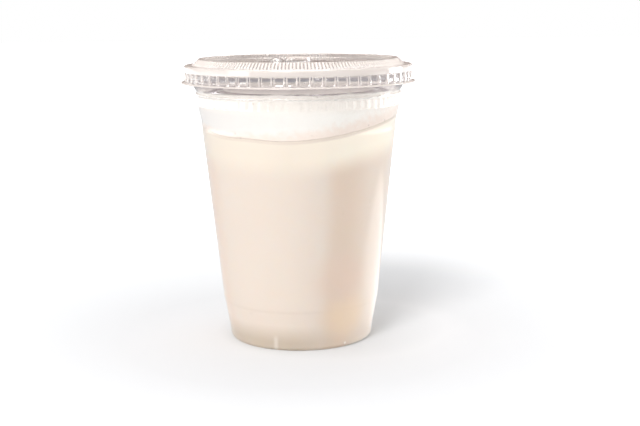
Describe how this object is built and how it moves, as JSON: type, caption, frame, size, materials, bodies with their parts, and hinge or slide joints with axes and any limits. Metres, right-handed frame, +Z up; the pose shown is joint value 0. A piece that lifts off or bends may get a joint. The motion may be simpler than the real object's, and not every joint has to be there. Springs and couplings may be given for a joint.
{
  "type": "sweet lassi in a clear lidded cup",
  "caption": "Sweet lassi with a froth layer in a tall clear formed cup, shut with a flat ribbed push-fit lid with a straw boss.",
  "frame": {"origin": "centre of the foot ring that the cup stands on", "axes": "+Z up along the cup's axis, -Y towards the shown side, +X to its right"},
  "size_m": [0.1012, 0.1012, 0.1235],
  "materials": {
    "cup_plastic": "clear thermoformed PET, smooth and glossy",
    "lid_plastic": "clear thermoformed PET, smooth and glossy",
    "lassi": "opaque cream-coloured yogurt drink, wet against the wall",
    "froth": "fine off-white foam"
  },
  "bodies": {
    "root": {"cup": "cup_plastic", "lid": "lid_plastic", "lassi": "lassi", "froth": "froth"}
  },
  "joints": []
}
